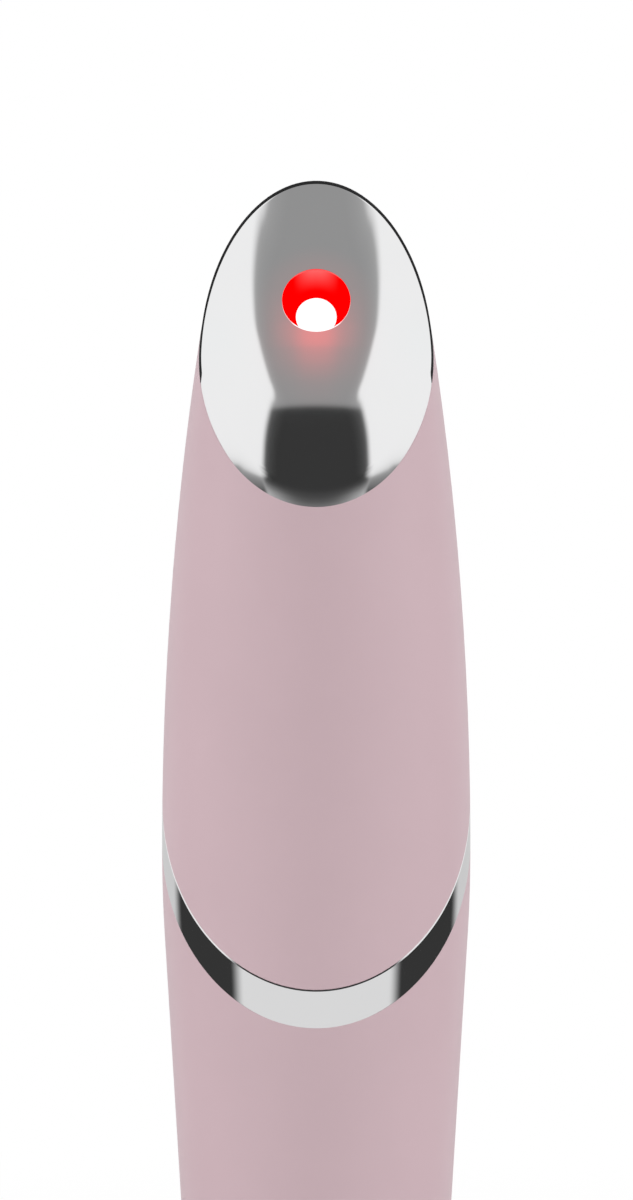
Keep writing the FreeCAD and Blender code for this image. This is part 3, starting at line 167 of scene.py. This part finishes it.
# ------------------------------------------------------------------ massage head
def make_head(bearings=360):
    """The polished head: a dome with a softly broken hole edge.

    Inside the collar's lip its edge is only broken; below the lip it rolls down to the rim.
    """
    def edge_reach(cosine, sine, inset):
        """Distance from the hole's middle to the head's edge at a bearing on the face."""
        near, far = HOLE_RADIUS, 20.0
        for _ in range(48):
            reach = (near + far) / 2
            along = HOLE_SHIFT + reach * sine
            p = face_point(reach * cosine, along, head_floor(along))
            if math.hypot(p.x, p.y) < outline_radius(p.z) - inset:
                near = reach
            else:
                far = reach
        return near

    loops = []
    for i in range(bearings):
        bearing = 2 * math.pi * i / bearings
        cosine, sine = math.cos(bearing), math.sin(bearing)
        # lip is 1 where the collar's lip stands round the edge, and 0 where the casing's rim does
        reach = edge_reach(cosine, sine, HEAD_INSET)
        lip = smooth(-rim_height(HOLE_SHIFT + reach * sine), -0.04, 0.08)
        inset = HEAD_INSET * (LIP_WIDE - LIP_TAPER * max(0.0, sine) ** 2)
        reach = edge_reach(cosine, sine, EDGE_GAP + (inset - EDGE_GAP) * lip)
        # the roll and the wider hole break are at the bottom of the face, where sine nears -1
        roll = ROLL_NARROW + (ROLL_WIDE - ROLL_NARROW) * smooth(-sine, 0.74, 0.86)
        end_slope = ROLL_SLOPE * smooth(-sine, 0.82, 0.965)
        hole_break = HOLE_BREAK_TOP + (HOLE_BREAK_LOW - HOLE_BREAK_TOP) * max(0.0, -sine)

        def at(distance, height):
            return face_point(distance * cosine, HOLE_SHIFT + distance * sine, height)

        def dome(distance):
            return dome_height(distance * cosine, HOLE_SHIFT + distance * sine)

        edge_floor = head_floor(HOLE_SHIFT + reach * sine)
        edge_drop = min(EDGE_BREAK + roll * end_slope / ROLL_BEND,
                        max(0.0, dome(reach) - edge_floor))
        loop = [at(HOLE_RADIUS, HOLE_LEDGE)]
        top = dome(HOLE_RADIUS)
        loop += rounded_corner(at(HOLE_RADIUS, top - hole_break), at(HOLE_RADIUS, top),
                               at(HOLE_RADIUS + hole_break, dome(HOLE_RADIUS + hole_break)), 4)
        start = HOLE_RADIUS + hole_break
        flat_end = reach - roll
        flat_rows, roll_rows, under_rows = 48, 26, 8
        for k in range(1, flat_rows + 1):
            distance = start + (flat_end - start) * k / flat_rows
            loop.append(at(distance, dome(distance)))
        for k in range(1, roll_rows + 1):
            distance = flat_end + roll * k / roll_rows
            loop.append(at(distance, dome(distance) - edge_drop * (k / roll_rows) ** ROLL_BEND))
        loop.append(at(reach, edge_floor))
        for k in range(1, under_rows + 1):
            distance = reach + (HOLE_STEP - reach) * k / under_rows
            loop.append(at(distance, head_floor(HOLE_SHIFT + distance * sine)))
        loop.append(at(HOLE_STEP, HOLE_LEDGE))
        loops.append(loop)
    head = closed_loops("polished_head", loops)
    face_outwards(head)
    return head


# ------------------------------------------------------------------ slanted ring
def make_ring(bearings=320):
    """The polished band: the wand's outline between two slanted planes, with a bright top bevel."""
    bottom, rows = RING_TOP - RING_BAND, 14
    loops = []
    for i in range(bearings):
        bearing = 2 * math.pi * i / bearings
        cosine, sine = math.cos(bearing), math.sin(bearing)
        bevel = BEVEL_FRONT + (BEVEL_SIDE - BEVEL_FRONT) * smooth(sine, -0.87, -0.5)

        def at(radius, z):
            return Vector((radius * cosine, radius * sine, z))

        low_out = plane_crossing(bottom, RING_SLOPE, sine)
        low_in = plane_crossing(bottom, RING_SLOPE, sine, WALL)
        top_out = plane_crossing(RING_TOP, RING_SLOPE, sine)
        top_in = plane_crossing(RING_TOP, RING_SLOPE, sine, WALL)

        def on_plane(radius, height):
            return at(radius, height + RING_SLOPE * radius * sine)

        start, stop = low_out[1] + RIM_BREAK, top_out[1] - bevel
        loop = rounded_corner(on_plane(low_out[0] - RIM_BREAK, bottom), at(*low_out),
                              at(outline_radius(start), start), 3)
        # the first row lies close to the rim, so that the rim's bend doesn't spread up the wall
        for k in (0.05, *range(1, rows)):
            z = start + (stop - start) * k / rows
            loop.append(at(outline_radius(z), z))
        loop.append(at(outline_radius(stop), stop))
        loop.append(on_plane(top_out[0] - bevel, RING_TOP))
        loop.append(at(*top_in))
        loop.append(at(*low_in))
        loops.append(loop)
    ring = closed_loops("polished_ring", loops, sharp_angle=25.0)
    face_outwards(ring)
    return ring


# ------------------------------------------------------------------ node formulas
class Field:
    """A number worked out at each shaded point, so that a pattern can be written as a formula."""

    def __init__(self, tree, value):
        self.tree, self.value = tree, value

    def _math(self, operation, *others, clamp=False):
        node = self.tree.nodes.new("ShaderNodeMath")
        node.operation, node.use_clamp = operation, clamp
        for socket, item in zip(node.inputs, (self, *others)):
            if isinstance(item, Field):
                self.tree.links.new(item.value, socket)
            else:
                socket.default_value = item
        return Field(self.tree, node.outputs[0])

    def __add__(self, other):
        return self._math("ADD", other)

    def __sub__(self, other):
        return self._math("SUBTRACT", other)

    def __mul__(self, other):
        return self._math("MULTIPLY", other)

    def __neg__(self):
        return self._math("MULTIPLY", -1.0)

    def at_least(self, other):
        return self._math("MAXIMUM", other)

    def absolute(self):
        return self._math("ABSOLUTE")

    def clamped(self):
        return self._math("ADD", 0.0, clamp=True)

    def power(self, exponent):
        return self._math("POWER", exponent)

    def curve(self, *places):
        """The smooth curve through (x, y) places, with x and y from 0 to 1."""
        node = self.tree.nodes.new("ShaderNodeFloatCurve")
        line = node.mapping.curves[0]
        line.points[0].location, line.points[1].location = places[0], places[-1]
        for x, y in places[1:-1]:
            line.points.new(x, y)
        node.mapping.update()
        self.tree.links.new(self.value, node.inputs["Value"])
        return Field(self.tree, node.outputs[0])

    def step(self, width, middle=0.0):
        """0 below the middle and 1 above it, with a soft change that is 2 * width wide."""
        node = self.tree.nodes.new("ShaderNodeMapRange")
        node.interpolation_type = "SMOOTHSTEP"
        node.inputs["From Min"].default_value = middle - width
        node.inputs["From Max"].default_value = middle + width
        self.tree.links.new(self.value, node.inputs["Value"])
        return Field(self.tree, node.outputs["Result"])


def mix(first, second, share):
    """first where share is 0 and second where it is 1; each may be a number or a field."""
    if isinstance(second, Field):
        return (second - first) * share + first
    if isinstance(first, Field):
        return (-first + second) * share + first
    return share * (second - first) + first


def blend_colours(tree, share, first, second):
    """A colour that goes from first to second; each is a colour or a socket that gives one."""
    node = tree.nodes.new("ShaderNodeMix")
    node.data_type = "RGBA"
    for name, colour in (("A", first), ("B", second)):
        # the colour sockets are the ones of that name that hold four numbers
        socket = [i for i in node.inputs if i.name == name and i.type == "RGBA"][0]
        if isinstance(colour, tuple):
            socket.default_value = (*colour, 1.0)
        else:
            tree.links.new(colour, socket)
    tree.links.new(share.value, node.inputs[0])
    return [o for o in node.outputs if o.type == "RGBA"][0]


def split(tree, socket):
    """The three numbers of a vector socket."""
    node = tree.nodes.new("ShaderNodeSeparateXYZ")
    tree.links.new(socket, node.inputs[0])
    return [Field(tree, out) for out in node.outputs]


def place(tree, unit=MM):
    """The shaded point in the part's own frame, in millimetres or another unit given in metres."""
    node = tree.nodes.new("ShaderNodeNewGeometry")
    scale = tree.nodes.new("ShaderNodeVectorMath")
    scale.operation = "SCALE"
    scale.inputs["Scale"].default_value = 1 / unit
    tree.links.new(node.outputs["Position"], scale.inputs[0])
    return scale.outputs[0]


def new_material(name):
    """An empty material, its node tree and its output node."""
    material = bpy.data.materials.new(name)
    material.use_nodes = True
    tree = material.node_tree
    tree.nodes.clear()
    output = tree.nodes.new("ShaderNodeOutputMaterial")
    return material, tree, output


# ------------------------------------------------------------------ surfaces of the part
CLOUD_RANGE = (0.35, 0.65)    # where in the noise's range the darker tone ends and the lighter begins
GRAIN_DEPTH = 0.02 * MM


def surface(name, pair, roughness, metallic=0.0, grain=9000.0, bump=0.05, cloud=150.0,
            uneven=0.04, **sockets):
    """A worked surface: a pair of close tones in soft clouds, a fine grain, slightly uneven gloss."""
    material, tree, output = new_material(name)
    shader = tree.nodes.new("ShaderNodeBsdfPrincipled")
    tree.links.new(shader.outputs[0], output.inputs["Surface"])
    coords = tree.nodes.new("ShaderNodeTexCoord")

    def noise(scale, detail):
        node = tree.nodes.new("ShaderNodeTexNoise")
        node.inputs["Scale"].default_value = scale
        node.inputs["Detail"].default_value = detail
        tree.links.new(coords.outputs["Object"], node.inputs["Vector"])
        return node.outputs["Fac"]

    clouds = noise(cloud, 3.0)
    ramp = tree.nodes.new("ShaderNodeValToRGB")
    for element, position, tone in zip(ramp.color_ramp.elements, CLOUD_RANGE, pair):
        element.position, element.color = position, (*tone, 1.0)
    tree.links.new(clouds, ramp.inputs["Fac"])
    tree.links.new(ramp.outputs["Color"], shader.inputs["Base Color"])

    gloss = Field(tree, noise(cloud * 6, 2.0)) * uneven + (roughness - uneven / 2)
    tree.links.new(gloss.value, shader.inputs["Roughness"])
    if bump:
        bumps = tree.nodes.new("ShaderNodeBump")
        bumps.inputs["Strength"].default_value = bump
        bumps.inputs["Distance"].default_value = GRAIN_DEPTH
        tree.links.new(noise(grain, 2.0), bumps.inputs["Height"])
        tree.links.new(bumps.outputs["Normal"], shader.inputs["Normal"])
    shader.inputs["Metallic"].default_value = metallic
    for socket, value in sockets.items():
        shader.inputs[socket.replace("_", " ").title()].default_value = value
    return material, tree, shader


def tones(colour, spread=0.03):
    """Two tones a little darker and lighter than a colour."""
    return [tuple(min(1.0, c * k) for c in colour) for k in (1 - spread, 1 + spread)]


def polished(name):
    """Mirror-bright metal."""
    return surface(name, tones((0.93, 0.93, 0.935), 0.004), 0.05, metallic=1.0, uneven=0.008,
                   bump=0.0)


def on_face(tree):
    """The shaded point on the massage face's axes, from the hole: sideways, up and out."""
    x, y, z = split(tree, place(tree))
    z = z - FACE_Z
    return x.absolute(), y * FACE_COS + z * FACE_SIN - HOLE_SHIFT, z * FACE_COS - y * FACE_SIN


def head_metal():
    """Polished metal with the hole's red light painted on as emission, most of it just below the hole.
    """
    material, tree, shader = polished("polished_metal_head_painted_light")
    side, along, _ = on_face(tree)
    distance = (side * side + along * along).power(0.5)
    # the painted red glow's strength down the face from 1 mm over the hole's middle, then across the
    # face, and a faint painted glow all round the hole
    below = ((-along + 1.0) * 0.1).clamped()
    under = below.curve((0.0, 0.0), (0.1, 0.25), (0.25, 0.7), (0.368, 1.0), (0.43, 0.92),
                        (0.476, 0.69), (0.52, 0.56), (0.57, 0.45), (0.615, 0.33), (0.66, 0.24),
                        (0.705, 0.155), (0.75, 0.092), (0.86, 0.034), (0.95, 0.0), (1.0, 0.0))
    across = (side * 0.1).clamped().curve(
        (0.0, 1.0), (0.06, 0.93), (0.113, 0.73), (0.185, 0.41), (0.256, 0.24), (0.326, 0.11),
        (0.396, 0.035), (0.5, 0.0), (1.0, 0.0))
    around = (-distance).step(1.2, -3.4)
    glow = under * across * 0.465 + around * 0.045
    # the wall of the hole shows nothing but a painted red reflection of the red inside
    wall = (-distance).step(0.004, -HOLE_RADIUS - 0.008)
    # a painted white highlight on the broken edge under the window
    painted_edge_highlight = ((-distance).step(0.01, -HOLE_RADIUS - 0.09) * (-along).step(0.2, 1.75)
                  * distance.step(0.004, HOLE_RADIUS + 0.010))
    # emission paints the light on the metal: the red glow, the red on the hole's wall and the white
    # highlight on its lower edge
    tree.links.new(mix(mix(glow, 1.0, wall), 0.9, painted_edge_highlight).value,
                   shader.inputs["Emission Strength"])
    tree.links.new(blend_colours(tree, painted_edge_highlight, (1.0, 0.0, 0.0), (1.0, 1.0, 1.0)),
                   shader.inputs["Emission Color"])
    # the metal is black on the hole's wall, so that only the painted red reflection shows there
    metal = shader.inputs["Base Color"].links[0].from_socket
    tree.links.new(blend_colours(tree, wall, metal, (0.0, 0.0, 0.0)), shader.inputs["Base Color"])
    return material


def lit_cup():
    """The red wall of the hole with the lamp's light painted on: glowing red all over, and a paler
    painted highlight where the lamp shines on its top.
    """
    material, tree, shader = surface("red_reflector", tones((0.12, 0.0, 0.0), 0.1), 0.6, bump=0.02)
    shader.inputs["Specular IOR Level"].default_value = 0.0
    side, along, out = on_face(tree)
    # painted highlight: the paler patch where the lamp shines on the cup's top
    share = (-side).step(0.75, -0.95) * along.step(0.5, 1.4) * out.step(2.2, 1.0)
    colour = blend_colours(tree, share, (1.0, 0.0, 0.0), (0.89, 0.25, 0.25))
    tree.links.new(colour, shader.inputs["Emission Color"])
    shader.inputs["Emission Strength"].default_value = 1.0
    return material


def lit_window():
    """The frosted window, evenly lit from behind."""
    material, _, shader = surface("white_window", tones((0.9, 0.9, 0.9), 0.02), 0.5, bump=0.02)
    shader.inputs["Emission Color"].default_value = (1.0, 1.0, 1.0, 1.0)
    shader.inputs["Emission Strength"].default_value = 1.0
    return material


PINK = (0.60, 0.441, 0.477)

SLOT_MATERIALS = {
    "pink_shell": surface("pink_shell", tones(PINK, 0.012), 0.42, grain=16000.0, bump=0.08,
                          cloud=90.0, sheen_weight=0.12, sheen_roughness=0.25)[0],
    "polished_metal": polished("polished_metal")[0],
    "black_collar": surface("black_collar", tones((0.012, 0.012, 0.013), 0.2), 0.5)[0],
    "red_reflector": lit_cup(),
    "white_window": lit_window(),
    "silicone": surface("silicone", tones((0.55, 0.55, 0.56)), 0.6, cloud=400.0)[0],
    "inner_plastic": surface("inner_plastic", tones((0.62, 0.60, 0.56)), 0.45)[0],
    "board_green": surface("board_green", tones((0.01, 0.12, 0.05), 0.15), 0.3, cloud=900.0)[0],
    "chip_black": surface("chip_black", tones((0.02, 0.02, 0.02), 0.3), 0.55, cloud=1500.0)[0],
    "steel": surface("steel", tones((0.55, 0.55, 0.56), 0.05), 0.28, metallic=1.0, cloud=600.0)[0],
    "weight_metal": surface("weight_metal", tones((0.3, 0.3, 0.31), 0.1), 0.5, metallic=1.0,
                            cloud=2500.0, bump=0.3)[0],
    "battery_wrap": surface("battery_wrap", tones((0.03, 0.15, 0.4), 0.06), 0.25)[0],
    "foam": surface("foam", tones((0.03, 0.03, 0.03), 0.4), 0.9, cloud=4000.0, bump=0.6)[0],
    "heater_film": surface("heater_film", tones((0.55, 0.2, 0.02), 0.1), 0.3, cloud=1200.0)[0],
    "lead_insulation": surface("lead_insulation", tones((0.45, 0.02, 0.02), 0.1), 0.4)[0],
    "clear_plastic": surface("clear_plastic", tones((0.8, 0.82, 0.84), 0.03), 0.35)[0],
}

for part in frame["record"]["subparts"]:
    node = frame["nodes"][part["node"]]
    node.data.materials.clear()
    node.data.materials.append(SLOT_MATERIALS[part["material_slot"]])


def stand_for(piece, node, material):
    """Let a mesh stand for one of the solids of the housing."""
    piece.data.materials.append(material)
    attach(piece, "housing")
    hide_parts(node)


stand_for(make_head(), "massage_head", head_metal())
stand_for(make_ring(), "accent_ring", SLOT_MATERIALS["polished_metal"])


# ------------------------------------------------------------------ studio
WHITE = (1.0, 1.0, 1.0, 1.0)


def make_floor():
    """A pale floor that turns into the white background 5 to 17 cm from the part's axis."""
    material, tree, output = new_material("studio_floor")
    diffuse = tree.nodes.new("ShaderNodeBsdfDiffuse")
    diffuse.inputs["Color"].default_value = (0.86, 0.86, 0.86, 1.0)
    white = tree.nodes.new("ShaderNodeEmission")
    white.inputs["Color"].default_value = WHITE
    rays = tree.nodes.new("ShaderNodeLightPath")
    x, y, _ = split(tree, place(tree, 1.0))
    away = (x * x + y * y).power(0.5).step(0.06, 0.11)
    seen = Field(tree, rays.outputs["Is Camera Ray"])
    for kind in ("Is Glossy Ray", "Is Transmission Ray"):
        seen = seen.at_least(Field(tree, rays.outputs[kind]))
    share = seen * away
    shader = tree.nodes.new("ShaderNodeMixShader")
    tree.links.new(share.value, shader.inputs["Fac"])
    tree.links.new(diffuse.outputs[0], shader.inputs[1])
    tree.links.new(white.outputs[0], shader.inputs[2])
    tree.links.new(shader.outputs[0], output.inputs["Surface"])

    half = 6.0
    mesh = bpy.data.meshes.new("studio_floor")
    mesh.from_pydata([(-half, -half, 0), (half, -half, 0), (half, half, 0), (-half, half, 0)], [],
                     [(0, 1, 2, 3)])
    mesh.materials.append(material)
    floor = bpy.data.objects.new("studio_floor", mesh)
    bpy.context.scene.collection.objects.link(floor)
    floor.visible_glossy = False
    return floor


def studio_level(side, front, back, up):
    """How bright the studio is in a direction.

    Above the horizon: tall white screens at both sides, the dark camera side between them, a grey
    ceiling and a white wall behind. Below it: a light floor in front, dark sides, a pale back.
    """
    grey, white, pale = 0.30, 0.89, 0.62
    height = up.clamped()
    # the gap between the side screens, by how high the reflected direction points
    gap = height.curve(
        (0.0, 0.62), (0.15, 0.617), (0.236, 0.615), (0.30, 0.605), (0.36, 0.585), (0.43, 0.545),
        (0.48, 0.514), (0.542, 0.483), (0.61, 0.432), (0.659, 0.394), (0.70, 0.363),
        (0.717, 0.345), (0.732, 0.327), (0.749, 0.322), (0.774, 0.312), (0.807, 0.282),
        (0.818, 0.268), (0.829, 0.251), (0.839, 0.275), (0.851, 0.307), (0.862, 0.334),
        (0.872, 0.354), (0.884, 0.360), (0.899, 0.360), (0.907, 0.356), (0.914, 0.351),
        (0.921, 0.344), (0.931, 0.330), (0.938, 0.317), (0.945, 0.300), (1.0, 0.20))
    beyond = side - gap
    # their edges are softer where the head bends more, so that they look equally soft there
    crisp = height.curve((0.0, 0.6), (0.3, 0.5), (0.45, 0.42), (0.6, 0.38), (0.69, 0.5),
                         (0.735, 0.9), (0.76, 1.0), (1.0, 1.0))
    screens = (beyond * crisp).step(0.017)
    # a faint glow inside their edges
    halo = (beyond * 5.0 + 0.5).clamped().curve(
        (0.0, 0.0), (0.1, 0.0), (0.235, 0.012), (0.29, 0.02), (0.34, 0.03), (0.395, 0.05),
        (0.447, 0.085), (0.5, 0.17), (1.0, 0.17))
    # the screens fade out towards their lower edge
    fade = (up + side * 0.45 - 0.2925).clamped().curve(
        (0.0, 0.08), (0.085, 0.099), (0.115, 0.116), (0.152, 0.155), (0.19, 0.19), (0.25, 0.245),
        (0.28, 0.29), (0.309, 0.36), (0.33, 0.48), (0.349, 0.607), (0.38, 0.73), (0.413, 0.80),
        (0.44, 0.835), (0.50, 0.87), (0.60, white), (1.0, white))
    # low in front the dark side gets lighter, most of all towards the screens
    tilt = (up * 0.5 + 0.5).clamped()
    low = tilt.curve(
        (0.0, 0.20), (0.35, 0.20), (0.44, 0.195), (0.4705, 0.183), (0.4895, 0.163), (0.52, 0.124),
        (0.5415, 0.100), (0.577, 0.081), (0.6025, 0.0685), (0.6445, 0.059), (0.6915, 0.049),
        (0.7275, 0.043), (0.793, 0.040), (0.8725, 0.0385), (1.0, 0.036))
    wedge = tilt.curve(
        (0.0, 1.0), (0.47, 1.0), (0.49, 0.885), (0.5245, 0.77), (0.547, 0.69), (0.5695, 0.59),
        (0.591, 0.446), (0.6125, 0.315), (0.6335, 0.215), (0.671, 0.07), (0.725, 0.0), (1.0, 0.0))
    corner = side.curve(
        (0.0, 0.0), (0.15, 0.006), (0.23, 0.021), (0.30, 0.045), (0.355, 0.085), (0.42, 0.156),
        (0.51, 0.29), (0.57, 0.377), (0.65, 0.45), (1.0, 0.45))
    dark = wedge * corner + low
    ceiling = (up - front * (side * side * 0.5 + 1.530)).step(0.010)
    wall = (back - up * 1.2).step(0.1)
    above = mix(mix(mix(dark, grey, ceiling) + halo, white, wall), fade, screens)
    floor_front = (front * 2.035 - side).step(0.22)
    floor_back = (back * 1.22 - side).step(0.18)
    below = mix(mix(0.036, 0.73, floor_front), pale, floor_back)
    # the horizon lies lower towards the front
    return mix(above, below, (-up - front.at_least(0.0) * 0.4).step(0.05, -0.12))


def make_reflections():
    """What polished metal sees of the studio: a round screen that only reflections show."""
    centre = (0.0, 0.0, 0.1)
    material, tree, output = new_material("studio_screen")
    geometry = tree.nodes.new("ShaderNodeNewGeometry")
    towards = tree.nodes.new("ShaderNodeVectorMath")
    towards.operation = "SUBTRACT"
    towards.inputs[1].default_value = centre
    unit = tree.nodes.new("ShaderNodeVectorMath")
    unit.operation = "NORMALIZE"
    tree.links.new(geometry.outputs["Position"], towards.inputs[0])
    tree.links.new(towards.outputs[0], unit.inputs[0])
    x, back, up = split(tree, unit.outputs[0])
    level = studio_level(x.absolute(), -back, back, up)

    light = tree.nodes.new("ShaderNodeEmission")
    tree.links.new(level.value, light.inputs["Strength"])
    light.inputs["Color"].default_value = WHITE
    tree.links.new(light.outputs[0], output.inputs["Surface"])
    material.cycles.emission_sampling = "NONE"

    bpy.ops.mesh.primitive_uv_sphere_add(segments=48, ring_count=24, radius=3.0, location=centre)
    sphere = bpy.context.object
    sphere.name = "studio_screen"
    sphere.data.materials.append(material)
    sphere.visible_camera = sphere.visible_diffuse = sphere.visible_shadow = False
    sphere.visible_transmission = sphere.visible_volume_scatter = False
    return sphere


def make_lamp(name, position, target, width, height, power):
    """A soft rectangular lamp that lights but isn't seen or mirrored."""
    data = bpy.data.lights.new(name, "AREA")
    data.shape, data.size, data.size_y, data.energy = "RECTANGLE", width, height, power
    lamp = bpy.data.objects.new(name, data)
    lamp.location = position
    lamp.rotation_euler = (Vector(target) - Vector(position)).to_track_quat("-Z", "Y").to_euler()
    lamp.visible_glossy = lamp.visible_camera = False
    bpy.context.scene.collection.objects.link(lamp)


def make_world():
    """Even light from all round, and white wherever the camera sees past the floor."""
    world = bpy.data.worlds.new("studio")
    world.use_nodes = True
    tree = world.node_tree
    background = tree.nodes["Background"]
    rays = tree.nodes.new("ShaderNodeLightPath")
    ambient = 0.48
    strength = Field(tree, rays.outputs["Is Camera Ray"]) * (1.0 - ambient) + ambient
    tree.links.new(strength.value, background.inputs["Strength"])
    background.inputs["Color"].default_value = WHITE
    bpy.context.scene.world = world


def make_camera():
    """The photograph's own view: from the front, 17.1 degrees down, with a long lens."""
    data = bpy.data.cameras.new("camera")
    data.sensor_width, data.sensor_fit = 36.0, "AUTO"
    distance, elevation, target_z, pixels_per_metre = 1.0, math.radians(17.1), 0.1008, 14090.0
    frame_height, off_centre = 1200, 0.25    # pixels
    data.lens = data.sensor_width * pixels_per_metre * distance / frame_height
    data.clip_start, data.clip_end = 0.01, 50.0
    data.shift_x = off_centre / frame_height
    camera = bpy.data.objects.new("camera", data)
    camera.location = (0.0, -distance * math.cos(elevation), target_z + distance * math.sin(elevation))
    camera.rotation_euler = (math.pi / 2 - elevation, 0.0, 0.0)
    bpy.context.scene.collection.objects.link(camera)
    bpy.context.scene.camera = camera


make_floor()
make_reflections()
AIM = (0.0, 0.0, 0.08)
make_lamp("left_light", (-0.9, -0.25, 0.35), AIM, 0.7, 1.0, 5.8)
make_lamp("right_light", (0.9, -0.25, 0.35), AIM, 0.7, 1.0, 5.8)
make_lamp("front_light", (0.0, -1.3, 0.7), AIM, 0.9, 0.6, 1.45)
make_lamp("back_light", (0.0, 1.2, 0.6), AIM, 0.9, 0.6, 3.0)
make_world()
make_camera()

bpy.context.scene.view_settings.view_transform = "Standard"
